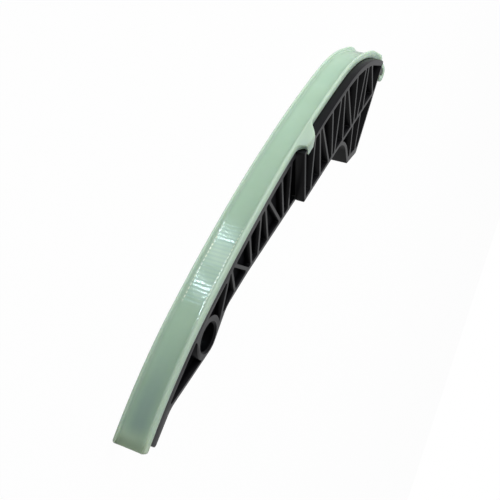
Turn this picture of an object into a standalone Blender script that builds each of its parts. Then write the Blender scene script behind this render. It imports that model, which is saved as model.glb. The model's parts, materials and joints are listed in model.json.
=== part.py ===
"""Timing chain guide: a moulded black carrier with a pale green slide facing clipped on.

Units are metres. X runs along the rail from the pivot end to the nose, Y points to the chain,
Z is the width of the rail. The profile is drawn with the pivot bore's axis at X = Y = 0 and the
middle of the narrow rail at Z = 0. The finished part is then moved as a whole, so that the middle
of its underside is the origin.
"""

import math

import bmesh
import bpy
from mathutils import Vector

MM = 0.001

# Seat line, the curve on which the slide lies: three tangent arcs, measured from above the bore
SEAT_HEIGHT = 14.3 * MM
SEAT_TILT = math.radians(4.3)
LOWER_RADIUS = 220.0 * MM
LOWER_LENGTH = 60.3 * MM
MIDDLE_RADIUS = 617.0 * MM
MIDDLE_LENGTH = 190.0 * MM
UPPER_RADIUS = 117.0 * MM
UPPER_LENGTH = 70.6 * MM

# Slide facing
SLIDE_WIDTH = 17.0 * MM
SLIDE_FLOOR = 2.2 * MM
LIP_HEIGHT = 1.8 * MM
LIP_WIDTH = 1.5 * MM
NOSE_LIP = 0.8 * MM
NOSE_LIP_START = 26.0 * MM
NOSE_LIP_RUN = 16.0 * MM
LIP_EDGE = 0.7 * MM
BOWL_RUN = 2.4 * MM
SLIDE_OVERHANG = 4.3 * MM
SLIDE_CORNER = 2.2 * MM
SLIDE_FIT = 0.3 * MM

# Carrier, a ribbed truss beam
CARRIER_WIDTH = 16.6 * MM
SHOULDER = 5.3 * MM
TOP_FLANGE = 4.0 * MM
SHOULDER_FLANGE = 2.4 * MM
NOSE_FLANGE = 3.8 * MM
BACK_FLANGE = 2.6 * MM
FLANGE_EASE = 0.8 * MM
CHORD = 2.4 * MM
RIB = 2.2 * MM
WEB = 2.5 * MM
POCKET_DEPTH = 3.5 * MM
POCKET_FILLET = 0.8 * MM
POCKET_DRAFT = math.radians(1.0)
POCKET_CHAMFER = 0.2 * MM
OUTER_EDGE = 0.4 * MM
NOSE_FILLET = 1.4 * MM

# Pivot bore and its boss
BORE_DIAMETER = 15.0 * MM
BORE_CHAMFER = 1.0 * MM
BOSS_WALL = 4.0 * MM
BOSS_FOOT_WALL = 2.3 * MM

# Back of the narrow rail, as corners with their fillets, seen from the bore
END_CORNER = (-57.2 * MM, -4.6 * MM)
END_FILLET = 1.5 * MM
WAIST = (-39.5 * MM, 0.4 * MM)
WAIST_FILLET = 14.0 * MM
SADDLE_CREST = (20.0 * MM, -2.6 * MM)
SADDLE_FILLET = 15.0 * MM
BELLY = (45.0 * MM, -6.6 * MM)
BELLY_FILLET = 120.0 * MM
BOSS_SHADOW = 0.75

# Step up to the wide rail, on the back line and along the seat line
STEP_BACK = (106.6 * MM, -20.4 * MM)
STEP_STATION = 114.6 * MM

# Leg with its half round notch and its foot, as seen from the nose corner
ARCH_CORNER = (-76.8 * MM, 1.8 * MM)
ARCH_RADIUS = 18.5 * MM
TOE = (-75.3 * MM, -22.9 * MM)
TOE_FILLET = 1.5 * MM
HEEL = (-58.3 * MM, -30.3 * MM)
HEEL_FILLET = 2.0 * MM
NECK = (-4.2 * MM, -2.0 * MM)
LEG_WALL = 3.2 * MM
FOOT_FLANGE = 4.6 * MM
END_WALL = 2.0 * MM

# Catch on the end wall, which the slide's hook grips
CATCH_THICKNESS = 4.0 * MM
CATCH_LENGTH = 6.6 * MM
HOOK_FIT = 0.5 * MM
HOOK_WALL = 3.4 * MM
HOOK_TAIL = 3.0 * MM
HOOK_LEAD = 6.5 * MM
LEAD_SPREAD = 0.55
LEAD_HOOK = 0.6

# Ear and tab of the slide, over the shoulder beside the step
EAR_START = 112.9 * MM
EAR_FULL = 118.3 * MM
EAR_FADE = 127.8 * MM
EAR_END = 139.0 * MM
EAR_EDGE = 2.3 * MM
TAB_LENGTH = 7.9 * MM
TAB_SLANT = 3.2 * MM
TAB_DROP = 4.3 * MM
TAB_PROUD = 0.3 * MM
TAB_THICKNESS = 1.4 * MM
TAB_FILLET = 0.8 * MM

# Ribs as pairs: foot on the back flange and head under the top flange
NARROW_RIBS = ((12.3, 28.3), (29.8, 31.8), (44.8, 35.8), (49.4, 53.4), (57.4, 67.4),
               (69.4, 73.4), (85.4, 78.4), (90.0, 95.0), (97.0, 108.0))
# The same in the wide rail, measured from the nose corner
WIDE_RIBS = ((-131.3, -118.8), (-117.3, -111.3), (-103.5, -107.1), (-98.2, -91.4), (-93.5, -78.1),
             (-79.8, -71.6), (-64.7, -66.0), (-59.7, -49.7), (-53.3, -34.4), (-42.6, -29.6),
             (-23.7, -23.1))
# Struts of the leg: head under the chord and foot on the foot flange
LEG_RIBS = ((-61.5, -69.3), (-47.4, -59.7))

CURVE_ERROR = 0.02 * MM
SHARP_TURN = math.radians(15.0)


def arc_steps(radius, turn):
    """How many straight pieces keep an arc within CURVE_ERROR."""
    piece = min(math.radians(30), 2 * math.acos(1 - min(0.1, CURVE_ERROR / radius)))
    return max(2, math.ceil(abs(turn) / piece))


def side(direction):
    """The unit vector a quarter turn to the left of a direction."""
    return Vector((-direction.y, direction.x)).normalized()


def aim(angle):
    return Vector((math.cos(angle), math.sin(angle)))


def meet(line_a, line_b):
    """Where two lines cross, each given by a point and a direction."""
    (p, d), (q, e) = line_a, line_b
    across = d.x * e.y - d.y * e.x
    gap = q - p
    return p + d * ((gap.x * e.y - gap.y * e.x) / across)


def through(a, b, shift=0.0):
    """The line from a to b, moved to its left by shift."""
    direction = (b - a).normalized()
    return a + side(direction) * shift, direction


def fillet(before, corner, after, radius):
    """Points of the round that replaces a corner, with no more radius than its edges allow."""
    into, out = before - corner, after - corner
    half = into.angle(out) / 2
    run = min(radius / math.tan(half), 0.48 * into.length, 0.48 * out.length)
    radius = run * math.tan(half)
    turn = math.pi - 2 * half
    start = corner + into.normalized() * run
    finish = corner + out.normalized() * run
    centre = corner + (into.normalized() + out.normalized()).normalized() * (radius / math.sin(half))
    steps = arc_steps(radius, turn)
    first = start - centre
    sign = 1 if into.cross(out) < 0 else -1
    points = []
    for i in range(steps + 1):
        angle = sign * turn * i / steps
        points.append(centre + Vector((first.x * math.cos(angle) - first.y * math.sin(angle),
                                       first.x * math.sin(angle) + first.y * math.cos(angle))))
    points[0], points[-1] = start, finish
    return points


def rounded(corners):
    """A closed outline from corners given as (point, fillet radius)."""
    points = []
    for i, (corner, radius) in enumerate(corners):
        if radius:
            points += fillet(corners[i - 1][0], corner, corners[(i + 1) % len(corners)][0], radius)
        else:
            points.append(corner)
    return points


def offset_loop(points, distance):
    """A closed outline, counter-clockwise, moved outward by distance."""
    moved = []
    for i, point in enumerate(points):
        before = side(point - points[i - 1])
        after = side(points[(i + 1) % len(points)] - point)
        moved.append(point - (before + after) * (distance / (1 + before.dot(after))))
    return moved


def seat(station):
    """Point and heading of the seat line at a length along it from above the bore."""
    point, heading = Vector((0.0, SEAT_HEIGHT)), SEAT_TILT
    if station < 0:
        runs = ((LOWER_RADIUS, station),)
    else:
        runs = ((MIDDLE_RADIUS, min(station, MIDDLE_LENGTH)),
                (UPPER_RADIUS, max(0.0, station - MIDDLE_LENGTH)))
    for radius, length in runs:
        turned = heading - length / radius
        point = point + radius * Vector((math.sin(heading) - math.sin(turned),
                                         math.cos(turned) - math.cos(heading)))
        heading = turned
    return point, heading


def seat_offset(station, rise):
    point, heading = seat(station)
    return point + side(aim(heading)) * rise


def stations(start, finish):
    """Stations from start to finish, close enough that the curve stays true."""
    marks = [start]
    for low, high, radius in ((-LOWER_LENGTH - SLIDE_OVERHANG, 0.0, LOWER_RADIUS),
                              (0.0, MIDDLE_LENGTH, MIDDLE_RADIUS),
                              (MIDDLE_LENGTH, MIDDLE_LENGTH + UPPER_LENGTH, UPPER_RADIUS)):
        low, high = max(low, start), min(high, finish)
        if high - low > 1e-9:
            count = math.ceil((high - low) / math.sqrt(8 * radius * CURVE_ERROR))
            marks += [low + (high - low) * (i + 1) / count for i in range(count)]
    return marks


NOSE_STATION = MIDDLE_LENGTH + UPPER_LENGTH
CARRIER_TOP = -SLIDE_FIT
NARROW_SIDE = CARRIER_WIDTH / 2
WIDE_SIDE = CARRIER_WIDTH / 2 + SHOULDER
TAB_FACE = WIDE_SIDE + TAB_PROUD
BORE_RADIUS = BORE_DIAMETER / 2
BOSS_RADIUS = BORE_RADIUS + BOSS_WALL
BOSS_FOOT_RADIUS = BORE_RADIUS + BOSS_FOOT_WALL
NOSE = seat_offset(NOSE_STATION, CARRIER_TOP)


def from_nose(pair):
    return NOSE + Vector(pair)


def tangent_corner(left, right, radius):
    """Corner of the two lines that run from left and right past the underside of the boss."""
    lines = []
    for point, turn in ((left, 1), (right, -1)):
        to_bore = -point
        angle = math.atan2(to_bore.y, to_bore.x) - turn * math.asin(radius / to_bore.length)
        lines.append((point, aim(angle)))
    return meet(*lines)


def end_line():
    """The line of the end wall, from the heel up to the neck."""
    return through(from_nose(HEEL), from_nose(NECK))


def catch_frame():
    """Base of the catch, the direction it points in, and the direction along the end wall."""
    along = end_line()[1]
    base = from_nose(NECK) - along * (CATCH_THICKNESS / 2)
    return base, -side(along), along


def carrier_outline():
    """The outline, counter-clockwise, with the numbers of its two points on the step."""
    base, out, along = catch_frame()
    half = along * (CATCH_THICKNESS / 2)
    waist, crest = Vector(WAIST), Vector(SADDLE_CREST)
    back = ((Vector(END_CORNER), END_FILLET),
            (waist, WAIST_FILLET),
            (tangent_corner(waist, crest, BOSS_FOOT_RADIUS), BOSS_FOOT_RADIUS),
            (crest, SADDLE_FILLET),
            (Vector(BELLY), BELLY_FILLET),
            (Vector(STEP_BACK), 0.0))
    leg = ((from_nose(ARCH_CORNER), ARCH_RADIUS),
           (from_nose(TOE), TOE_FILLET),
           (from_nose(HEEL), HEEL_FILLET),
           (base - half, POCKET_FILLET),
           (base - half + out * CATCH_LENGTH, CATCH_THICKNESS / 2),
           (base + half + out * CATCH_LENGTH, CATCH_THICKNESS / 2),
           (base + half, POCKET_FILLET),
           (NOSE, NOSE_FILLET))
    wide_marks = stations(STEP_STATION, NOSE_STATION)[:-1]
    narrow_marks = stations(-LOWER_LENGTH, STEP_STATION)[1:-1]
    wide_top = [(seat_offset(s, CARRIER_TOP), 0.0) for s in reversed(wide_marks)]
    narrow_top = [(seat_offset(s, CARRIER_TOP), 0.0) for s in reversed(narrow_marks)]
    start = (seat_offset(-LOWER_LENGTH, CARRIER_TOP), END_FILLET / 2)
    points = rounded([start, *back, *leg, *wide_top, *narrow_top])
    step_back = min(range(len(points)), key=lambda i: (points[i] - Vector(STEP_BACK)).length)
    step_top = min(range(len(points)), key=lambda i: (points[i] - wide_top[-1][0]).length)
    return points, step_back, step_top


def new_object(name, bm, material=None):
    bmesh.ops.recalc_face_normals(bm, faces=bm.faces)
    mesh = bpy.data.meshes.new(name)
    bm.to_mesh(mesh)
    bm.free()
    thing = bpy.data.objects.new(name, mesh)
    bpy.context.scene.collection.objects.link(thing)
    if material:
        mesh.materials.append(material)
    return thing


def cutter(name, bm):
    thing = new_object(name, bm)
    thing.hide_render = True
    thing.display_type = "WIRE"
    return thing


def cut(thing, tool, operation="DIFFERENCE"):
    modifier = thing.modifiers.new(tool.name, "BOOLEAN")
    modifier.operation = operation
    modifier.solver = "EXACT"
    modifier.object = tool


def loft(bm, rings):
    """A closed solid through rings of the same number of points."""
    loops = [[bm.verts.new(point) for point in ring] for ring in rings]
    for low, high in zip(loops, loops[1:]):
        for i in range(len(low)):
            bm.faces.new((low[i - 1], low[i], high[i], high[i - 1]))
    bm.faces.new(loops[0])
    bm.faces.new(loops[-1])
    return loops


def at_height(points, z):
    return [Vector((p.x, p.y, z)) for p in points]


def beam_blank():
    """The carrier before its pockets: the whole outline, with the wide rail raised on one side."""
    points, step_back, step_top = carrier_outline()
    narrow = [i for i in range(len(points)) if i <= step_back or i >= step_top]
    wide = list(range(step_back, step_top + 1))
    bm = bmesh.new()
    low = [bm.verts.new(p) for p in at_height(points, -NARROW_SIDE)]
    middle = [bm.verts.new(p) for p in at_height(points, NARROW_SIDE)]
    high = {i: bm.verts.new((points[i].x, points[i].y, WIDE_SIDE)) for i in wide}
    bm.faces.new(low)
    for i in range(len(points)):
        bm.faces.new((low[i - 1], low[i], middle[i], middle[i - 1]))
    for i, j in zip(wide, wide[1:]):
        bm.faces.new((middle[i], middle[j], high[j], high[i]))
    bm.faces.new((middle[step_back], middle[step_top], high[step_top], high[step_back]))
    bm.faces.new([middle[i] for i in narrow])
    bm.faces.new([high[i] for i in wide])
    bmesh.ops.recalc_face_normals(bm, faces=bm.faces)
    level = [e for e in bm.edges if abs(e.verts[0].co.z - e.verts[1].co.z) < 1e-6]
    rims = [e for e in level if e.is_convex and e.calc_face_angle() > 1.0]
    bmesh.ops.bevel(bm, geom=rims, offset=OUTER_EDGE, segments=2, profile=0.5, affect="EDGES")
    return bm


def back_line(x):
    """The straight piece of the back, or of the chord that carries it on, over a given x."""
    corners = [Vector(END_CORNER), Vector(WAIST)]
    corners.append(tangent_corner(Vector(WAIST), Vector(SADDLE_CREST), BOSS_FOOT_RADIUS))
    corners += [Vector(SADDLE_CREST), Vector(BELLY), Vector(STEP_BACK), from_nose(ARCH_CORNER)]
    for a, b in zip(corners, corners[1:]):
        if x < b.x:
            return through(a, b, BACK_FLANGE)
    return through(corners[-2], corners[-1], BACK_FLANGE)


def top_line(x, flange):
    """The underside of the top flange over a given x, as a straight line."""
    low, high = -LOWER_LENGTH, NOSE_STATION
    for _ in range(40):
        station = (low + high) / 2
        if seat_offset(station, -flange).x < x:
            low = station
        else:
            high = station
    return seat_offset(station, -flange), aim(seat(station)[1])


class Rib:
    """A straight rib between two flanges: its two side lines, and the flange lines at its ends."""

    def __init__(self, foot_line, head_line, foot_x, head_x, thickness=RIB):
        upright = Vector((0.0, 1.0))
        foot = meet(foot_line, (Vector((foot_x, 0.0)), upright))
        head = meet(head_line, (Vector((head_x, 0.0)), upright))
        self.foot_line, self.head_line = foot_line, head_line
        self.left = through(foot, head, thickness / 2)
        self.right = through(foot, head, -thickness / 2)


def pocket_corners(left, right):
    """Corners of the pocket between two ribs, counter-clockwise, or nothing if they leave no room."""
    foot_left, foot_right = meet(left.right, left.foot_line), meet(right.left, right.foot_line)
    head_right, head_left = meet(right.left, right.head_line), meet(left.right, left.head_line)
    foot_open = foot_right.x - foot_left.x > RIB / 4
    head_open = head_right.x - head_left.x > RIB / 4
    if foot_open and head_open:
        return [foot_left, foot_right, head_right, head_left]
    if not (foot_open or head_open):
        return []
    tip = meet(left.right, right.left)
    return [foot_left, foot_right, tip] if foot_open else [tip, head_right, head_left]


def tip_pocket():
    """The pocket from where the two flanges meet to the shadow of the boss, where they thin."""
    back = back_line(WAIST[0])
    tip = meet(back, top_line(WAIST[0], TOP_FLANGE))
    upright = Vector((-BOSS_SHADOW * BOSS_RADIUS, 0.0)), Vector((0.0, 1.0))
    ease = Vector((0.0, FLANGE_EASE))
    return [tip, meet(back, upright) - ease, meet(top_line(upright[0].x, TOP_FLANGE), upright) + ease]


def narrow_pockets():
    boss = (0.0, 0.0)
    pairs = [boss] + [(a * MM, b * MM) for a, b in NARROW_RIBS]
    step_foot, step_head = STEP_BACK[0], seat_offset(STEP_STATION, CARRIER_TOP).x
    ribs = [Rib(back_line(foot), top_line(head, TOP_FLANGE), foot, head)
            for foot, head in pairs if foot < step_foot - RIB and head < step_head - RIB]
    ribs.append(step_rib(TOP_FLANGE))
    return [tip_pocket()] + [pocket_corners(a, b) for a, b in zip(ribs, ribs[1:])]


def step_rib(flange):
    """The rib whose outer side is the face of the step."""
    top = seat_offset(STEP_STATION, CARRIER_TOP)
    rib = Rib(back_line(STEP_BACK[0]), top_line(top.x, flange), STEP_BACK[0], top.x)
    rib.left = through(Vector(STEP_BACK), top)
    rib.right = through(Vector(STEP_BACK), top, -RIB)
    return rib


def end_rib(foot_line, head_line, wall):
    """The end wall, as the last of a row of ribs."""
    start, along = end_line()
    rib = Rib(foot_line, head_line, NOSE.x, NOSE.x)
    rib.left = (start + side(along) * wall, along)
    return rib


def shoulder_flange(x):
    """Thickness of the wide rail's top flange, which grows from the step to the nose."""
    start = seat_offset(STEP_STATION, CARRIER_TOP).x
    return SHOULDER_FLANGE + (NOSE_FLANGE - SHOULDER_FLANGE) * (x - start) / (NOSE.x - start)


def wide_pockets():
    pairs = [(NOSE.x + a * MM, NOSE.x + b * MM) for a, b in WIDE_RIBS]
    step_foot, step_head = STEP_BACK[0], seat_offset(STEP_STATION, CARRIER_TOP).x
    ribs = [step_rib(SHOULDER_FLANGE)]
    ribs += [Rib(back_line(foot), top_line(head, shoulder_flange(head)), foot, head)
             for foot, head in pairs if foot > step_foot + 2 * RIB and head > step_head + RIB]
    ribs.append(end_rib(back_line(NOSE.x), top_line(NOSE.x - NOSE_FLANGE, NOSE_FLANGE), END_WALL))
    return [pocket_corners(a, b) for a, b in zip(ribs, ribs[1:])]


def leg_pockets():
    """Pockets of the leg, between the chord and the foot flange. The first one follows the arch."""
    arch, toe, heel = from_nose(ARCH_CORNER), from_nose(TOE), from_nose(HEEL)
    chord = through(Vector(STEP_BACK), arch, BACK_FLANGE - CHORD)
    foot = through(toe, heel, FOOT_FLANGE)
    ribs = [Rib(foot, chord, NOSE.x + b * MM, NOSE.x + a * MM) for a, b in LEG_RIBS]
    ribs.append(end_rib(foot, chord, END_WALL))
    pockets = [pocket_corners(a, b) for a, b in zip(ribs, ribs[1:])]
    leg_wall = through(arch, toe, LEG_WALL)
    centre = meet(through(Vector(STEP_BACK), arch, -ARCH_RADIUS), through(arch, toe, -ARCH_RADIUS))
    reach = ARCH_RADIUS + LEG_WALL
    level = centre - chord[0]
    drop = abs(level.x * chord[1].y - level.y * chord[1].x)
    first = math.acos(min(1.0, drop / reach))
    upright = math.atan2(side(chord[1]).y, side(chord[1]).x)
    level_angle = math.atan2(side(leg_wall[1]).y, side(leg_wall[1]).x)
    turn = level_angle - upright + first
    steps = arc_steps(reach, turn)
    arc = [centre + aim(upright - first + turn * i / steps) * reach for i in range(steps + 1)]
    lead = ribs[0]
    beside_arch = [*arc, meet(leg_wall, foot), meet(lead.left, foot), meet(lead.left, chord)]
    return [beside_arch] + pockets


def pocket_cutter(bm, corners, floor, mouth):
    """A drafted prism from the pocket's floor out past its mouth, with a chamfered rim."""
    outward = 1 if mouth > floor else -1
    turns = []
    for i, corner in enumerate(corners):
        before = corner - corners[i - 1]
        after = corners[(i + 1) % len(corners)] - corner
        turns.append(before.angle(after) > SHARP_TURN)
    loop = rounded([(c, POCKET_FILLET if turn else 0.0) for c, turn in zip(corners, turns)])
    depth = abs(mouth - floor)
    loft(bm, (at_height(offset_loop(loop, -depth * math.tan(POCKET_DRAFT)), floor),
              at_height(loop, mouth - outward * POCKET_CHAMFER),
              at_height(offset_loop(loop, 2 * POCKET_CHAMFER), mouth + outward * POCKET_CHAMFER)))


def area(corners):
    return sum(a.x * b.y - a.y * b.x for a, b in zip(corners, corners[1:] + corners[:1])) / 2


def pocket_set(pockets, floor, mouth):
    bm = bmesh.new()
    for corners in pockets:
        if corners and area(corners) > (2 * RIB) ** 2:
            pocket_cutter(bm, corners, floor, mouth)
    bmesh.ops.recalc_face_normals(bm, faces=bm.faces)
    return bm


def disc(bm, radii_at):
    """A turned solid about the bore from (radius, z) pairs."""
    count = 4 * arc_steps(max(radius for radius, _ in radii_at), math.pi / 2)
    spokes = [aim(2 * math.pi * i / count) for i in range(count)]
    loft(bm, [at_height([spoke * radius for spoke in spokes], z) for radius, z in radii_at])


def bore_cutter():
    bm = bmesh.new()
    past = 2 * BORE_CHAMFER
    reach = NARROW_SIDE + past
    disc(bm, ((BORE_RADIUS + BORE_CHAMFER + past, -reach),
              (BORE_RADIUS, -NARROW_SIDE + BORE_CHAMFER),
              (BORE_RADIUS, NARROW_SIDE - BORE_CHAMFER),
              (BORE_RADIUS + BORE_CHAMFER + past, reach)))
    return cutter("bore_cutter", bm)


def smooth_step(run):
    """Rises from 0 to 1 with a level start and end."""
    run = min(1.0, max(0.0, run))
    return run * run * (3 - 2 * run)


def ear_flare(station):
    """How far the slide's near side stands out at a station, from 0 to 1."""
    if station <= EAR_START or station >= EAR_END:
        return 0.0
    if station < EAR_FULL:
        run = (station - EAR_START) / (EAR_FULL - EAR_START)
        return 1 - math.sqrt(1 - run * run)
    if station <= EAR_FADE:
        return 1.0
    return smooth_step((EAR_END - station) / (EAR_END - EAR_FADE))


def slide_section(flare, spread, rise, hook):
    """Points of the slide's section as (z, height), counter-clockwise from the near underside.

    flare widens the near side at the ear and lowers its brim, spread widens it for the hook, rise
    heightens the lips by the nose, and hook turns the channel into a plain bar.
    """
    half = SLIDE_WIDTH / 2
    near = half + max(flare, spread) * (TAB_FACE - half)
    top = (SLIDE_FLOOR + LIP_HEIGHT + NOSE_LIP * rise) * (1 - hook) + HOOK_WALL * hook
    floor = SLIDE_FLOOR * (1 - hook) + HOOK_WALL * hook
    brim = top * (1 - flare) + EAR_EDGE * flare
    inner = half - LIP_WIDTH
    tip = LIP_EDGE / 2 * (1 - hook)
    near_lip = [(near - LIP_EDGE / 2, 0.0), (near, LIP_EDGE / 2), (near, brim - LIP_EDGE),
                (near - 0.3 * LIP_EDGE, brim - 0.3 * LIP_EDGE), (near - LIP_EDGE, brim),
                (half - 1.3 * LIP_EDGE, top), (inner + LIP_EDGE / 2, top), (inner, top - tip)]
    bowl = []
    for i in range(5):
        angle = math.pi / 8 * i
        bowl.append((inner - BOWL_RUN * (1 - math.cos(angle)),
                     floor + (top - 2 * tip - floor) * (1 - math.sin(angle))))
    far_bowl = [(-z, height) for z, height in reversed(bowl)]
    far_lip = [(-inner, top - tip), (-inner - LIP_EDGE / 2, top), (-half + LIP_EDGE, top),
               (-half + 0.3 * LIP_EDGE, top - 0.3 * LIP_EDGE), (-half, top - LIP_EDGE),
               (-half, LIP_EDGE / 2), (-half + LIP_EDGE / 2, 0.0)]
    return near_lip + bowl + far_bowl + far_lip


def slide_path():
    """The slide's underside, from the lower end to the hook's tip.

    Each entry is a point and the section's shares there: flare, spread, rise and hook.
    """
    base, out, along = catch_frame()
    centre = base + out * (CATCH_LENGTH - CATCH_THICKNESS / 2)
    radius = CATCH_THICKNESS / 2 + HOOK_FIT
    corner = seat(NOSE_STATION)[0]
    to_centre = centre - corner
    heading = math.atan2(to_centre.y, to_centre.x) + math.asin(radius / to_centre.length)
    rounding = [math.sin(math.pi / 16 * i) for i in (0, 2, 3, 4, 5, 6, 7, 8)]
    ear_marks = [EAR_START + (EAR_FULL - EAR_START) * share for share in rounding]
    ear_marks += [EAR_FADE + (EAR_END - EAR_FADE) * i / 10 for i in range(11)]
    marks = stations(-LOWER_LENGTH - SLIDE_OVERHANG, NOSE_STATION - HOOK_LEAD)
    marks += [NOSE_STATION - HOOK_LEAD * i / 5 for i in (4, 3, 2)]
    marks = sorted([s for s in marks if not EAR_START - MM < s < EAR_END + MM] + ear_marks)
    path = []
    for s in marks:
        lead = smooth_step((s - NOSE_STATION + HOOK_LEAD) / HOOK_LEAD)
        rise = smooth_step((s - NOSE_STATION + NOSE_LIP_START) / NOSE_LIP_RUN) * (1 - lead)
        path.append((seat(s)[0], ear_flare(s), LEAD_SPREAD * lead, rise, LEAD_HOOK * lead))
    first = centre + aim(heading + math.pi / 2) * radius
    bend = fillet(path[-1][0], corner, first, NOSE_FILLET + SLIDE_FIT)
    path += [(point, 0.0, LEAD_SPREAD, 0.0, LEAD_HOOK) for point in bend]
    steps = 5
    for i in range(1, steps):
        run = smooth_step(i / steps)
        spread = LEAD_SPREAD + (1 - LEAD_SPREAD) * run
        hook = LEAD_HOOK + (1 - LEAD_HOOK) * run
        path.append((bend[-1].lerp(first, i / steps), 0.0, spread, 0.0, hook))
    full_hook = (0.0, 1.0, 0.0, 1.0)
    wrap_from = heading + math.pi / 2
    wrap = (wrap_from - math.atan2(-along.y, -along.x)) % (2 * math.pi)
    steps = 8
    for i in range(steps + 1):
        path.append((centre + aim(wrap_from - wrap * i / steps) * radius, *full_hook))
    path.append((path[-1][0] - out * HOOK_TAIL, *full_hook))
    return path


def slide_body():
    """The slide's section swept along its path."""
    path = slide_path()
    points = [entry[0] for entry in path]
    bm = bmesh.new()
    rings = []
    for i, (point, *shares) in enumerate(path):
        before = side(point - points[i - 1]) if i else side(points[1] - point)
        after = side(points[i + 1] - point) if i + 1 < len(path) else before
        normal = (before + after) / (1 + before.dot(after))
        ring = []
        for z, height in slide_section(*shares):
            place = point + normal * height
            ring.append(Vector((place.x, place.y, z)))
        rings.append(ring)
    loops = loft(bm, rings)
    bmesh.ops.recalc_face_normals(bm, faces=bm.faces)
    return bm


def tab_corners(margin, drop):
    """The tab's face as seen from the side, a little inside the ear, with a margin all round it."""
    low, high = EAR_FULL + LIP_EDGE / 4 - margin, EAR_FULL + TAB_LENGTH + margin
    return [(seat_offset(low, -drop), TAB_FILLET), (seat_offset(high, -drop), TAB_FILLET),
            (seat_offset(high + TAB_SLANT, EAR_EDGE / 2), 0.0), (seat_offset(low, EAR_EDGE / 2), 0.0)]


def prism(corners, low, high):
    bm = bmesh.new()
    loop = rounded(corners)
    loft(bm, (at_height(loop, low), at_height(loop, high)))
    bmesh.ops.recalc_face_normals(bm, faces=bm.faces)
    return bm


def corner_rounds():
    """Cutter that rounds the slide's two corners at its lower end."""
    bm = bmesh.new()
    end, heading = seat(-LOWER_LENGTH - SLIDE_OVERHANG)
    along, up = aim(heading), side(aim(heading))
    half = SLIDE_WIDTH / 2
    for sign in (-1, 1):
        loop = []
        for i in range(6):
            turn = aim(math.pi / 2 * i / 5)
            loop.append((SLIDE_CORNER * (1 - turn.y), half - SLIDE_CORNER * (1 - turn.x)))
        loop += [(-MM, half - SLIDE_CORNER), (-MM, half + MM), (SLIDE_CORNER, half + MM)]
        rings = []
        for height in (-MM, SLIDE_FLOOR + LIP_HEIGHT + MM):
            ring = []
            for back, z in loop:
                place = end + along * back + up * height
                ring.append(Vector((place.x, place.y, sign * z)))
            rings.append(ring)
        loft(bm, rings)
    bmesh.ops.recalc_face_normals(bm, faces=bm.faces)
    return cutter("slide_corner_cutter", bm)


def finish(name, colour, roughness):
    material = bpy.data.materials.new(name)
    material.use_nodes = True
    shader = material.node_tree.nodes["Principled BSDF"]
    shader.inputs["Base Color"].default_value = (*colour, 1.0)
    shader.inputs["Roughness"].default_value = roughness
    shader.inputs["Metallic"].default_value = 0.0
    return material


def smooth(thing, angle):
    thing.data.shade_smooth()
    thing.data.set_sharp_from_angle(angle=angle)


def make_carrier():
    carrier = new_object("rail_carrier", beam_blank(), finish("black_nylon", (0.032, 0.032, 0.035), 0.42))
    near_floor = NARROW_SIDE - POCKET_DEPTH
    far_floor = near_floor - WEB
    narrow = narrow_pockets()
    near_bm = pocket_set(narrow, near_floor, NARROW_SIDE)
    far_bm = pocket_set(narrow, far_floor, -NARROW_SIDE)
    boss = bmesh.new()
    disc(boss, ((BOSS_RADIUS, -NARROW_SIDE - 2 * MM), (BOSS_RADIUS, NARROW_SIDE + 2 * MM)))
    boss_guard = cutter("boss_guard", boss)
    for name, bm in (("narrow_pockets_near", near_bm), ("narrow_pockets_far", far_bm)):
        pockets = cutter(name, bm)
        cut(pockets, boss_guard)
        cut(carrier, pockets)
    wide = wide_pockets() + leg_pockets()
    cut(carrier, cutter("wide_pockets_near", pocket_set(wide, near_floor, WIDE_SIDE)))
    cut(carrier, cutter("wide_pockets_far", pocket_set(wide, far_floor, -NARROW_SIDE)))
    cut(carrier, bore_cutter())
    recess = prism(tab_corners(SLIDE_FIT, TAB_DROP + SLIDE_FIT),
                   TAB_FACE - TAB_THICKNESS - SLIDE_FIT, TAB_FACE)
    cut(carrier, cutter("tab_recess", recess))
    return carrier


def make_slide():
    slide = new_object("slide_facing", slide_body(), finish("sage_nylon", (0.42, 0.55, 0.45), 0.28))
    tab = cutter("slide_tab", prism(tab_corners(0.0, TAB_DROP), TAB_FACE - TAB_THICKNESS, TAB_FACE))
    cut(slide, tab, "UNION")
    cut(slide, corner_rounds())
    return slide


def clear_scene():
    for thing in list(bpy.data.objects):
        bpy.data.objects.remove(thing, do_unlink=True)


def rest_on_origin(things):
    """Moves everything so that the middle of the part's underside is the origin."""
    bpy.context.view_layer.update()
    graph = bpy.context.evaluated_depsgraph_get()
    points = []
    for thing in things:
        evaluated = thing.evaluated_get(graph)
        points += [thing.matrix_world @ v.co for v in evaluated.data.vertices]
    low = Vector(min(p[i] for p in points) for i in range(3))
    high = Vector(max(p[i] for p in points) for i in range(3))
    frame = bpy.data.objects.new("part_frame", None)
    bpy.context.scene.collection.objects.link(frame)
    for thing in bpy.context.scene.objects:
        if thing.type == "MESH":
            thing.parent = frame
    frame.location = (-(low.x + high.x) / 2, -(low.y + high.y) / 2, -low.z)


def main():
    clear_scene()
    carrier = make_carrier()
    slide = make_slide()
    for thing in (carrier, slide):
        smooth(thing, math.radians(35))
    rest_on_origin((carrier, slide))


main()
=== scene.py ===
# %% [markdown]
# # A timing chain guide
#
# The real part is a curved rail on which a timing chain runs inside an engine. It has two pieces:
# a black moulded carrier, which is a ribbed beam with a pivot boss and a foot, and a pale green
# slide, which clips over the carrier and takes the wear. The CAD model gives every size and place
# in metres. This script adds clean meshes, the finishes, the light and the camera.

# %% Load the CAD model
import json
import math

import bpy
from mathutils import Matrix, Vector
from mathutils.bvhtree import BVHTree


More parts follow.
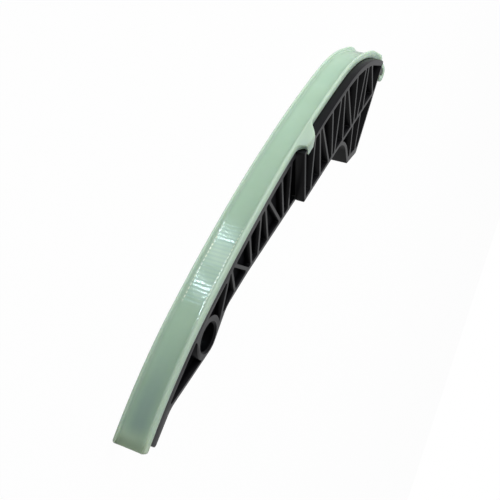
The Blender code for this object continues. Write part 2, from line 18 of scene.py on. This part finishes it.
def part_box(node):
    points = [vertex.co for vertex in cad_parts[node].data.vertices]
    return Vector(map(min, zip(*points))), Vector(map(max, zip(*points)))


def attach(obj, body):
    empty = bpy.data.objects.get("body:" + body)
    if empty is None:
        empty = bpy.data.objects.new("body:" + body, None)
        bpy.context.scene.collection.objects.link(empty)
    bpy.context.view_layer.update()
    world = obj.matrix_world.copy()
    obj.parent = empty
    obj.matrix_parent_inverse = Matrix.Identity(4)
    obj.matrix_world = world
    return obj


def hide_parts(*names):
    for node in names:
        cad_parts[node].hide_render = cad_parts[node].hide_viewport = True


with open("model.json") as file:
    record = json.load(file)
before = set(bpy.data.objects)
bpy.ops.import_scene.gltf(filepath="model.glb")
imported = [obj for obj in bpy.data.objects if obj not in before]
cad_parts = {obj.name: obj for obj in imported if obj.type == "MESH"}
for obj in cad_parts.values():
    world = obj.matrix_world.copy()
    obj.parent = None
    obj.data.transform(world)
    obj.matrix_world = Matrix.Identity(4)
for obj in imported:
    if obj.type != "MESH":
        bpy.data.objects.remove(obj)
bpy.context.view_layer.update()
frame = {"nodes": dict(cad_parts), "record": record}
MM = 0.001
for name, node in frame["nodes"].items():
    print(name, len(node.data.polygons), "triangles")

# %% [markdown]
# The camera was found by fitting the outline of the part to the photograph. It is given from the
# part's own landmark, the middle of the pivot bore, so it stays right if the origin moves. The
# record's opening in the bore says where that is. By hand this is a camera moved until the two
# long edges of the slide and the rim of the bore lie on the photograph's.

# %% Place the camera
CAMERA_FROM_BORE = Vector((-134.2, 314.0, 138.9)) * MM
CAMERA_RIGHT = Vector((0.4066, -0.1382, 0.9031))
CAMERA_UP = Vector((0.7755, 0.5748, -0.2612))
CAMERA_LENS = 54.12
CAMERA_SENSOR = 36.0
CAMERA_NEAR = 10 * MM

openings = {opening["name"]: opening["box_m"] for opening in frame["record"]["physics"]["openings"]}
bore_low, bore_high = (Vector(corner) for corner in openings["pivot_bore"])
BORE = (bore_low + bore_high) / 2


def turned(place, right, up, back):
    """The matrix of a thing at a place, with its own X, Y and Z axes given."""
    return Matrix.Translation(place) @ Matrix((right, up, back)).transposed().to_4x4()


def place_camera():
    """A camera at the photograph's viewpoint, with its axes given as right and up."""
    bpy.ops.object.camera_add()
    camera = bpy.context.object
    camera.name = "photo_camera"
    camera.data.sensor_width = CAMERA_SENSOR
    camera.data.lens = CAMERA_LENS
    camera.data.clip_start = CAMERA_NEAR
    right = CAMERA_RIGHT.normalized()
    back = right.cross(CAMERA_UP).normalized()
    camera.matrix_world = turned(BORE + CAMERA_FROM_BORE, right, back.cross(right), back)
    bpy.context.scene.camera = camera
    return camera


camera = place_camera()
print("bore", [round(c, 5) for c in BORE], "camera", [round(c, 4) for c in camera.location])

# %% [markdown]
# The visible shape of both pieces is the CAD model's: every rib, fillet, lip and hook is solid
# there. A CAD mesh is loose flat triangles, so each piece starts as a merged copy. By hand this is
# Duplicate, Merge by Distance and Limited Dissolve, which turns each flat side back into one face.
# The angle of the dissolve is very small, since the slide's curve is made of faces that turn by
# a fraction of a degree, and smooth shading needs all of them. The copy then stands for the node.

# %% Copy the CAD nodes into clean meshes
MERGE_REACH = 0.001 * MM
FLAT_ANGLE = math.radians(0.03)


def select_only(piece):
    for chosen in list(bpy.context.selected_objects):
        chosen.select_set(False)
    bpy.context.view_layer.objects.active = piece
    piece.select_set(True)


def clean_copy(node, name):
    """A merged copy of a CAD node, with flat sides in one face, which stands for the node."""
    piece = frame["nodes"][node].copy()
    piece.data = piece.data.copy()
    piece.name = name
    piece.data.name = name
    for key in [key for key in piece.keys() if key.startswith("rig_")]:
        del piece[key]
    bpy.context.collection.objects.link(piece)
    select_only(piece)
    bpy.ops.object.mode_set(mode="EDIT")
    bpy.ops.mesh.select_all(action="SELECT")
    bpy.ops.mesh.remove_doubles(threshold=MERGE_REACH)
    bpy.ops.mesh.dissolve_limited(angle_limit=FLAT_ANGLE)
    bpy.ops.mesh.tris_convert_to_quads()
    bpy.ops.object.mode_set(mode="OBJECT")
    piece.data.materials.clear()
    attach(piece, "root")
    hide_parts(node)
    print(name, len(piece.data.vertices), "points", len(piece.data.polygons), "faces")
    return piece


carrier = clean_copy("rail_carrier", "ribbed_carrier")
slide = clean_copy("slide_facing", "chain_slide")

# %% [markdown]
# Both pieces are mouldings, whose arcs and fillets run smoothly into their sides. The mesh has
# them as small flats, so shading is smooth wherever two faces meet at a shallow angle, and stays
# crisp at real edges such as the rims of the pockets. The slide has the larger angle, because its
# lips and hook are rounder than anything on the carrier.

# %% Shade the pieces
CRISP_FROM = ((carrier, math.radians(32)), (slide, math.radians(50)))

for piece, angle in CRISP_FROM:
    select_only(piece)
    bpy.ops.object.shade_smooth_by_angle(angle=angle)
    print(piece.name, "is crisp from", round(math.degrees(angle)), "degrees")

# %% [markdown]
# A catalogue photograph has a white surround and soft light. The slide is brightest at its upper
# end and darkest at its lower end, so the main lamp is a soft one above the picture, on the chain's
# side. A second one looks down on the ribbed side, so that the rib tops are lit and the pockets
# between them stay dark. Both stay out of the reflections, which have lamps of their own.

# %% Light the part
scene = bpy.context.scene
scene.view_settings.view_transform = "Standard"
SUBJECT = Vector((0.0, 0.02, 0.01))
ACROSS = Vector((0.0, 0.0, 1.0))
PURE_WHITE = (1.0, 1.0, 1.0)


def add_lamp(name, place, away, width, length, radiance, colour):
    """A rectangular lamp at a place, facing back along away, its width across the rail."""
    bpy.ops.object.light_add(type="AREA")
    lamp = bpy.context.object
    lamp.name = name
    lamp.data.shape = "RECTANGLE"
    lamp.data.size = width
    lamp.data.size_y = length
    lamp.data.energy = radiance * math.pi * width * length
    lamp.data.color = colour
    side = (ACROSS - away * away.dot(ACROSS)).normalized()
    lamp.matrix_world = turned(place, side, away.cross(side), away)
    print(name, "at", [round(c, 3) for c in place], "with", round(lamp.data.energy, 2), "W")
    return lamp


def add_softbox(name, direction, distance, size, level):
    """A square lamp that stays out of the reflections; level is the white it makes."""
    away = Vector(direction).normalized()
    radiance = level * math.pi * distance ** 2 / size ** 2
    lamp = add_lamp(name, SUBJECT + away * distance, away, size, size, radiance, PURE_WHITE)
    lamp.visible_glossy = False


add_softbox("chain_side_softbox", (0.70, 0.66, -0.28), distance=0.8, size=0.5, level=0.63)
add_softbox("ribbed_side_softbox", (0.42, 0.3, 0.86), distance=0.9, size=0.6, level=0.8)

# %% [markdown]
# A little way up from the bore the slide mirrors something bright: two bands of cold white
# streaks across the rail, with a fainter and warmer one between them. Each band is a long narrow
# lamp that only reflections see. A lamp shows in the slide where the camera's ray bounces to it,
# so each lamp is placed by bouncing that ray off the mesh. By hand it is moved until its
# reflection lies right.

# %% Mirror bright bands in the slide
slide_tree = BVHTree.FromObject(slide, bpy.context.evaluated_depsgraph_get())
ABOVE_SLIDE = 0.2
LAMP_REACH = 0.8
BAND_WIDTH = 900 * MM
COOL_WHITE = (0.72, 0.88, 1.0)
WARM_WHITE = (1.0, 0.95, 0.84)
# Each band has a name, a place along the rail from the bore, a length, a radiance and a colour
BANDS = (
    ("upper_band", 45.5 * MM, 28 * MM, 34.0, COOL_WHITE),
    ("middle_band", 34 * MM, 16 * MM, 9.0, WARM_WHITE),
    ("lower_band", 18.5 * MM, 28 * MM, 34.0, COOL_WHITE),
)


def bounced(along):
    """Where a lamp has to be to show on the slide, at a distance along the rail from the bore."""
    start = BORE + Vector((along, ABOVE_SLIDE, 0.0))
    hit, normal, _, _ = slide_tree.ray_cast(start, Vector((0.0, -1.0, 0.0)))
    view = (camera.location - hit).normalized()
    away = (2 * normal.dot(view) * normal - view).normalized()
    return hit + away * LAMP_REACH, away


for name, along, length, radiance, colour in BANDS:
    place, away = bounced(along)
    lamp = add_lamp(name, place, away, BAND_WIDTH, length, radiance, colour)
    lamp.visible_diffuse = False

# %% [markdown]
# The world is white where the camera sees it, less so in reflections, and dim as light on the
# part, so that the lamps shape it. The Light Path node tells these apart. The floor is a white
# sheet under the part, made in the same way. The main lamp is partly behind it, so the floor
# casts no shadow itself and stays out of reflections, but it still shows the part's own shadow.

# %% Make the white surround
GLOSS_SHARE = 0.4
AMBIENT_COLOUR = (0.96, 0.98, 1.0, 1.0)
AMBIENT_LEVEL = 0.19
FLOOR_SIZE = 4.0
FLOOR_COLOUR = (0.8, 0.8, 0.8, 1.0)
FLOOR_SHARE = 0.975


def math_node(tree, operation, first, second):
    """A Math node whose two inputs are numbers or sockets."""
    node = tree.nodes.new("ShaderNodeMath")
    node.operation = operation
    for socket, value in zip(node.inputs, (first, second)):
        if isinstance(value, (int, float)):
            socket.default_value = value
        else:
            tree.links.new(value, socket)
    return node.outputs[0]


def white_to_camera(tree, lit, white, share):
    """Mixes a lit shader with a plain white one where the camera or a reflection sees it."""
    path = tree.nodes.new("ShaderNodeLightPath").outputs
    mirrored = math_node(tree, "MAXIMUM", path["Is Glossy Ray"], path["Is Transmission Ray"])
    mirrored = math_node(tree, "MULTIPLY", mirrored, GLOSS_SHARE)
    seen = math_node(tree, "MAXIMUM", path["Is Camera Ray"], mirrored)
    mix = tree.nodes.new("ShaderNodeMixShader")
    tree.links.new(math_node(tree, "MULTIPLY", seen, share), mix.inputs["Fac"])
    tree.links.new(lit.outputs[0], mix.inputs[1])
    tree.links.new(white.outputs[0], mix.inputs[2])
    return mix.outputs[0]


def make_world():
    world = bpy.data.worlds.new("studio_world")
    scene.world = world
    world.use_nodes = True
    tree = world.node_tree
    tree.nodes.clear()
    ambient = tree.nodes.new("ShaderNodeBackground")
    ambient.inputs["Color"].default_value = AMBIENT_COLOUR
    ambient.inputs["Strength"].default_value = AMBIENT_LEVEL
    white = tree.nodes.new("ShaderNodeBackground")
    white.inputs["Color"].default_value = (*PURE_WHITE, 1.0)
    out = tree.nodes.new("ShaderNodeOutputWorld")
    tree.links.new(white_to_camera(tree, ambient, white, 1.0), out.inputs["Surface"])


def make_floor():
    bpy.ops.mesh.primitive_plane_add(size=FLOOR_SIZE, location=(0.0, 0.0, 0.0))
    floor = bpy.context.object
    floor.name = "studio_floor"
    material = bpy.data.materials.new("studio_white")
    material.use_nodes = True
    tree = material.node_tree
    tree.nodes.clear()
    paper = tree.nodes.new("ShaderNodeBsdfDiffuse")
    paper.inputs["Color"].default_value = FLOOR_COLOUR
    white = tree.nodes.new("ShaderNodeEmission")
    white.inputs["Color"].default_value = (*PURE_WHITE, 1.0)
    out = tree.nodes.new("ShaderNodeOutputMaterial")
    tree.links.new(white_to_camera(tree, paper, white, FLOOR_SHARE), out.inputs["Surface"])
    floor.data.materials.append(material)
    floor.visible_shadow = False
    floor.visible_glossy = False


make_world()
make_floor()
print("surround: world at", AMBIENT_LEVEL, "and a floor of", FLOOR_SIZE, "m")

# %% [markdown]
# Two effects are node groups. Uneven colour, used by both plastics, is a soft cloudy mask, because
# moulded nylon is never quite even. Moulded grain, used by the carrier, is a small height for a Bump
# node, because the mould's steel has a fine texture that the plastic takes over.

# %% Build the shared effects
def noise_group(name, size_label, size, output, detail, roughness):
    """A group that gives noise of a size that is stated for each material that uses it."""
    group = bpy.data.node_groups.new(name, "ShaderNodeTree")
    kind = "NodeSocketFloat"
    group.interface.new_socket(name=size_label, in_out="INPUT", socket_type=kind)
    group.interface.items_tree[-1].default_value = size
    group.interface.new_socket(name=output, in_out="OUTPUT", socket_type=kind)
    start = group.nodes.new("NodeGroupInput")
    end = group.nodes.new("NodeGroupOutput")
    place = group.nodes.new("ShaderNodeTexCoord")
    noise = group.nodes.new("ShaderNodeTexNoise")
    noise.inputs["Detail"].default_value = detail
    noise.inputs["Roughness"].default_value = roughness
    group.links.new(place.outputs["Object"], noise.inputs["Vector"])
    group.links.new(start.outputs[0], noise.inputs["Scale"])
    group.links.new(noise.outputs[0], end.inputs[0])
    print("group", name, "gives", output)
    return group


UNEVEN = noise_group("uneven_colour", "Clouds per metre", 60.0, "Mask", detail=3.0, roughness=0.6)
GRAIN = noise_group("moulded_grain", "Grains per metre", 1500.0, "Height", detail=2.0, roughness=0.5)

# %% [markdown]
# The carrier is glass filled nylon straight from the mould: nearly black, satin, with a fine grain
# that breaks up its sheen. Three finishes of the same plastic follow how it was moulded and where it
# faces the light. Walls and outsides are satin. The floors of the pockets are coarser and duller,
# because nobody polishes the mould's deep cores. The rims and rib tops are painted a little paler, a
# painted sheen where they face the light, which draws the pattern of the ribs against the dark
# pockets. By hand these faces are selected by height in edit mode and given their material slot.

# %% Finish the carrier
BLACK_CLOUDS = 90.0
CLOUD_EDGES = (0.3, 0.7)
ROUGHNESS_SPREAD = 0.04
GRAIN_ASPECT = 35
FINE_GRAIN = 0.4 * MM
COARSE_GRAIN = 1.1 * MM
WEB_LEVEL = 13.3 * MM
WEB_REACH = 0.1 * MM
RIM_LEVEL = WEB_LEVEL + 1 * MM
LEVEL_FACE = 0.9
WALLS, POCKET_FLOORS, PAINTED_SHEEN_RIMS = 0, 1, 2


def new_material(name):
    material = bpy.data.materials.new(name)
    material.use_nodes = True
    return material, material.node_tree, material.node_tree.nodes["Principled BSDF"]


def use_group(tree, group, value):
    node = tree.nodes.new("ShaderNodeGroup")
    node.node_tree = group
    node.inputs[0].default_value = value
    return node.outputs[0]


def colour_between(tree, mask, dark, light):
    """A colour ramp from one colour to another, driven by a mask."""
    ramp = tree.nodes.new("ShaderNodeValToRGB")
    ends = zip(ramp.color_ramp.elements, CLOUD_EDGES, (dark, light))
    for element, position, colour in ends:
        element.position = position
        element.color = (*colour, 1.0)
    tree.links.new(mask, ramp.inputs["Fac"])
    return ramp.outputs["Color"]


def bump(tree, height, depth):
    node = tree.nodes.new("ShaderNodeBump")
    node.inputs["Strength"].default_value = 1.0
    node.inputs["Distance"].default_value = depth
    tree.links.new(height, node.inputs["Height"])
    return node.outputs[0]


def span(tree, mask, low, high):
    """A mask stretched to run from low to high."""
    node = tree.nodes.new("ShaderNodeMapRange")
    node.inputs["To Min"].default_value = low
    node.inputs["To Max"].default_value = high
    tree.links.new(mask, node.inputs["Value"])
    return node.outputs["Result"]


def black_nylon(name, dark, light, dull, shine, grain):
    """Black nylon: colour from dark to light, a middle roughness, a shine and a grain size."""
    material, tree, shader = new_material(name)
    clouds = use_group(tree, UNEVEN, BLACK_CLOUDS)
    height = use_group(tree, GRAIN, 1.0 / grain)
    roughness = span(tree, clouds, dull - ROUGHNESS_SPREAD, dull + ROUGHNESS_SPREAD)
    tree.links.new(colour_between(tree, clouds, dark, light), shader.inputs["Base Color"])
    tree.links.new(roughness, shader.inputs["Roughness"])
    shader.inputs["Specular IOR Level"].default_value = shine
    tree.links.new(bump(tree, height, grain / GRAIN_ASPECT), shader.inputs["Normal"])
    carrier.data.materials.append(material)


def finish_of(face):
    """Which of the carrier's finishes a face has, from its direction and its height."""
    if face.normal.z > LEVEL_FACE:
        if abs(face.center.z - WEB_LEVEL) < WEB_REACH:
            return POCKET_FLOORS
        if face.center.z > RIM_LEVEL:
            return PAINTED_SHEEN_RIMS
    return WALLS


black_nylon("black_nylon", dark=(0.002, 0.002, 0.003), light=(0.004, 0.004, 0.005),
            dull=0.36, shine=0.2, grain=FINE_GRAIN)
black_nylon("pocket_black", dark=(0.002, 0.002, 0.003), light=(0.004, 0.004, 0.005),
            dull=0.65, shine=0.1, grain=COARSE_GRAIN)
# The rims and rib tops get a paler colour, a painted sheen where they face the light.
black_nylon("rim_painted_sheen", dark=(0.019, 0.019, 0.020), light=(0.029, 0.029, 0.032),
            dull=0.34, shine=0.5, grain=FINE_GRAIN)
for face in carrier.data.polygons:
    face.material_index = finish_of(face)
finishes = [face.material_index for face in carrier.data.polygons]
print("faces: walls", finishes.count(WALLS), "floors", finishes.count(POCKET_FLOORS),
      "rims", finishes.count(PAINTED_SHEEN_RIMS))

# %% [markdown]
# The slide is unfilled nylon, smooth and slightly see-through, so light spreads inside it. Where it is
# thin and has no black carrier close behind it, at the lips and at the free end, this light is painted
# in as a paler colour. At the pivot end the middle of the channel, where the carrier is right behind
# it, is painted greyer as shade. Each of these is a soft mask from the distance to the middle of the
# channel and from the place along X, so it follows the part whatever its mesh is like.

# %% Masks for the slide
CHANNEL_MIDDLE = BORE.z
SLIDE_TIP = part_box("slide_facing")[0].x
FREE_END_START = SLIDE_TIP + 11 * MM
FREE_END_FULL = SLIDE_TIP + 2 * MM
FREE_END_SHARE = 0.6
# These bound the painted grey shade in the middle of the channel at the pivot end.
CHANNEL_SHADE_EDGE = 6.5 * MM
CHANNEL_SHADE_FULL = 0.2 * CHANNEL_SHADE_EDGE
CHANNEL_SHADE_START = BORE.x - 55 * MM
CHANNEL_SHADE_END = BORE.x - 5 * MM


def smooth_mask(tree, value, start, end, low=0.0, high=1.0):
    """A number that goes smoothly from low to high as value goes from start to end."""
    node = tree.nodes.new("ShaderNodeMapRange")
    node.interpolation_type = "SMOOTHSTEP"
    node.inputs["From Min"].default_value = start
    node.inputs["From Max"].default_value = end
    node.inputs["To Min"].default_value = low
    node.inputs["To Max"].default_value = high
    tree.links.new(value, node.inputs["Value"])
    return node.outputs["Result"]


def product(tree, first, second):
    return math_node(tree, "MULTIPLY", first, second)


def channel_place(tree):
    """The distance from the middle of the channel, and the place along X."""
    place = tree.nodes.new("ShaderNodeTexCoord")
    parts = tree.nodes.new("ShaderNodeSeparateXYZ")
    tree.links.new(place.outputs["Object"], parts.inputs[0])
    offset = math_node(tree, "SUBTRACT", parts.outputs["Z"], CHANNEL_MIDDLE)
    return math_node(tree, "ABSOLUTE", offset, 0.0), parts.outputs["X"]


def channel_shade_mask(tree, aside, along):
    """The painted grey shade in the middle of the channel at the pivot end, but not its very tip."""
    middle = smooth_mask(tree, aside, CHANNEL_SHADE_EDGE, CHANNEL_SHADE_FULL)
    low_end = smooth_mask(tree, along, CHANNEL_SHADE_END, CHANNEL_SHADE_START)
    not_the_tip = smooth_mask(tree, along, FREE_END_FULL, FREE_END_START)
    return product(tree, middle, product(tree, low_end, not_the_tip))


print("slide from", round(SLIDE_TIP, 4), "with the middle of its channel at", round(CHANNEL_MIDDLE, 4))

# %% [markdown]
# The slide's face has shallow ripples across the rail, left by the mould and burnished by the chain's
# links over one stretch above the bore. They are only microns deep and show in bright reflections
# alone, so they are a bump and not mesh. A cut straight across the rail is a plane of one X, so the
# ripples are a wave along X, bent a little by noise. Between the crests lie duller grooves, painted
# darker as shade between the reflected streaks. In the corners beside the lips the crests end in
# painted highlights, bright dots of colour. The grooves and dots are in the colour and the roughness
# too, because a renderer's noise filter wipes away a bump this small when nothing else shows it.

# %% Ripples for the slide
RIPPLE_PITCH = 2.4 * MM
RIPPLE_DEPTH = 0.01 * MM
RIPPLE_EDGE = 4.9 * MM
WAVE_UNIT = 2 * math.pi / 20
RIPPLE_BEND = 2.0
RIPPLE_STRETCH = (1.0, 0.25, 0.25)
CREST_EDGES = (0.1, 0.6)
CORNER_GAIN = 2.5
LIP_SHARE = 0.1
UNWORN_SHARE = 0.2
BURNISHED_START = BORE.x + 9 * MM
BURNISHED_END = BORE.x + 50 * MM


def burnished_highlight_place(tree, along, elsewhere):
    """1 along the length that the chain has burnished, where the painted highlights and shade lie, and
    a lower value elsewhere.
    """
    after = smooth_mask(tree, along, BURNISHED_START - 5 * MM, BURNISHED_START, elsewhere)
    before = smooth_mask(tree, along, BURNISHED_END + 8 * MM, BURNISHED_END, elsewhere)
    return math_node(tree, "MINIMUM", after, before)


def ripple_crests(tree):
    """A mask of the ripples' crests, in bands across the rail that wander a little."""
    place = tree.nodes.new("ShaderNodeTexCoord")
    stretch = tree.nodes.new("ShaderNodeMapping")
    stretch.inputs["Scale"].default_value = RIPPLE_STRETCH
    wave = tree.nodes.new("ShaderNodeTexWave")
    wave.wave_type = "BANDS"
    wave.bands_direction = "X"
    wave.inputs["Scale"].default_value = WAVE_UNIT / RIPPLE_PITCH
    wave.inputs["Distortion"].default_value = RIPPLE_BEND
    wave.inputs["Detail"].default_value = 2.0
    wave.inputs["Detail Scale"].default_value = 0.6
    tree.links.new(place.outputs["Object"], stretch.inputs["Vector"])
    tree.links.new(stretch.outputs["Vector"], wave.inputs["Vector"])
    return smooth_mask(tree, wave.outputs["Fac"], *CREST_EDGES)


def ripple_height(tree, crests, aside, along):
    """The height of the ripples, deepest beside the lips and nearly gone on them."""
    deeper = smooth_mask(tree, aside, RIPPLE_EDGE - 0.4 * MM, RIPPLE_EDGE + 0.3 * MM,
                         1.0, CORNER_GAIN)
    fading = smooth_mask(tree, aside, RIPPLE_EDGE + 1.8 * MM, RIPPLE_EDGE + 0.6 * MM, LIP_SHARE)
    amount = product(tree, product(tree, deeper, fading),
                     burnished_highlight_place(tree, along, UNWORN_SHARE))
    return product(tree, crests, amount)


def highlight_dots(tree, crests, aside, along):
    """A mask of the painted highlight dots, where the crests end in the corners beside the lips."""
    outer = smooth_mask(tree, aside, RIPPLE_EDGE + 1.0 * MM, RIPPLE_EDGE + 0.6 * MM)
    inner = smooth_mask(tree, aside, RIPPLE_EDGE + 0.1 * MM, RIPPLE_EDGE + 0.4 * MM)
    corner = product(tree, outer, inner)
    return product(tree, crests, product(tree, burnished_highlight_place(tree, along, 0.0), corner))


def shaded_rough_grooves(tree, crests, aside, along):
    """A mask of the grooves between the crests, where the chain has burnished them; they are rougher
    and painted darker as shade.
    """
    inside = smooth_mask(tree, aside, RIPPLE_EDGE + 0.7 * MM, RIPPLE_EDGE)
    grooves = math_node(tree, "SUBTRACT", 1.0, crests)
    return product(tree, grooves, product(tree, burnished_highlight_place(tree, along, 0.0), inside))


print("ripples from", round(BURNISHED_START, 4), "to", round(BURNISHED_END, 4),
      "at a pitch of", RIPPLE_PITCH)

# %% [markdown]
# The slide's material stacks the masks as a painter would: the cloudy green first, then the painted
# shade of the grey channel and of the grooves, the painted light of the pale lips and free end, and
# the painted highlight dots on top. The channel is glossier than the lips. Subsurface light softens
# the shadows under the lips, as in real nylon.

# %% Finish the slide
SAGE_CLOUDS = 45.0
SAGE_DARK = (0.415, 0.585, 0.450)
SAGE_LIGHT = (0.445, 0.615, 0.475)
# The channel and groove colours are painted shade, the lip and free end colours painted light, and the
# dot colour painted highlights.
CHANNEL_SHADE_COLOUR = (0.33, 0.47, 0.40)
GROOVE_SHADE_COLOUR = (0.80, 0.86, 0.88)
LIP_PAINTED_LIGHT = (0.475, 0.610, 0.500)
FREE_END_PAINTED_LIGHT = (0.56, 0.69, 0.50)
DOT_PAINTED_HIGHLIGHT = (0.80, 0.88, 0.74)
CHANNEL_ROUGHNESS = 0.09
GROOVE_ROUGHNESS = 0.34
LIP_ROUGHNESS = 0.4
SAGE_SHINE = 0.4
GLOW = 0.8
GLOW_REACH = 3.5 * MM
GLOW_COLOUR = (1.0, 0.95, 0.75)


def mixed(tree, mask, first, second, blend="MIX"):
    """A colour socket that is blended with a second, plain colour where the mask is 1."""
    node = tree.nodes.new("ShaderNodeMix")
    node.data_type = "RGBA"
    node.blend_type = blend
    node.inputs["B"].default_value = (*second, 1.0)
    tree.links.new(mask, node.inputs["Factor"])
    tree.links.new(first, node.inputs["A"])
    return node.outputs["Result"]


def sage_nylon():
    material, tree, shader = new_material("sage_nylon")
    aside, along = channel_place(tree)
    crests = ripple_crests(tree)
    grooves = shaded_rough_grooves(tree, crests, aside, along)
    lips = smooth_mask(tree, aside, 5.2 * MM, 6.8 * MM)
    free_end = smooth_mask(tree, along, FREE_END_START, FREE_END_FULL, 0.0, FREE_END_SHARE)
    clouds = use_group(tree, UNEVEN, SAGE_CLOUDS)
    colour = colour_between(tree, clouds, SAGE_DARK, SAGE_LIGHT)
    # The grey channel and the grooves are painted shade, the pale lips and free end painted light, and
    # the dots painted highlights.
    colour = mixed(tree, channel_shade_mask(tree, aside, along), colour, CHANNEL_SHADE_COLOUR)
    colour = mixed(tree, grooves, colour, GROOVE_SHADE_COLOUR, "MULTIPLY")
    colour = mixed(tree, lips, colour, LIP_PAINTED_LIGHT)
    colour = mixed(tree, free_end, colour, FREE_END_PAINTED_LIGHT)
    colour = mixed(tree, highlight_dots(tree, crests, aside, along), colour, DOT_PAINTED_HIGHLIGHT)
    tree.links.new(colour, shader.inputs["Base Color"])
    channel = span(tree, grooves, CHANNEL_ROUGHNESS, GROOVE_ROUGHNESS)
    satin = product(tree, smooth_mask(tree, aside, 5.4 * MM, 6.4 * MM), LIP_ROUGHNESS)
    tree.links.new(math_node(tree, "MAXIMUM", channel, satin), shader.inputs["Roughness"])
    shader.inputs["Specular IOR Level"].default_value = SAGE_SHINE
    shader.inputs["Subsurface Weight"].default_value = GLOW
    shader.inputs["Subsurface Radius"].default_value = GLOW_COLOUR
    shader.inputs["Subsurface Scale"].default_value = GLOW_REACH
    height = ripple_height(tree, crests, aside, along)
    tree.links.new(bump(tree, height, RIPPLE_DEPTH), shader.inputs["Normal"])
    return material


slide.data.materials.append(sage_nylon())
print("slide finished with", len(slide.data.materials[0].node_tree.nodes), "nodes")
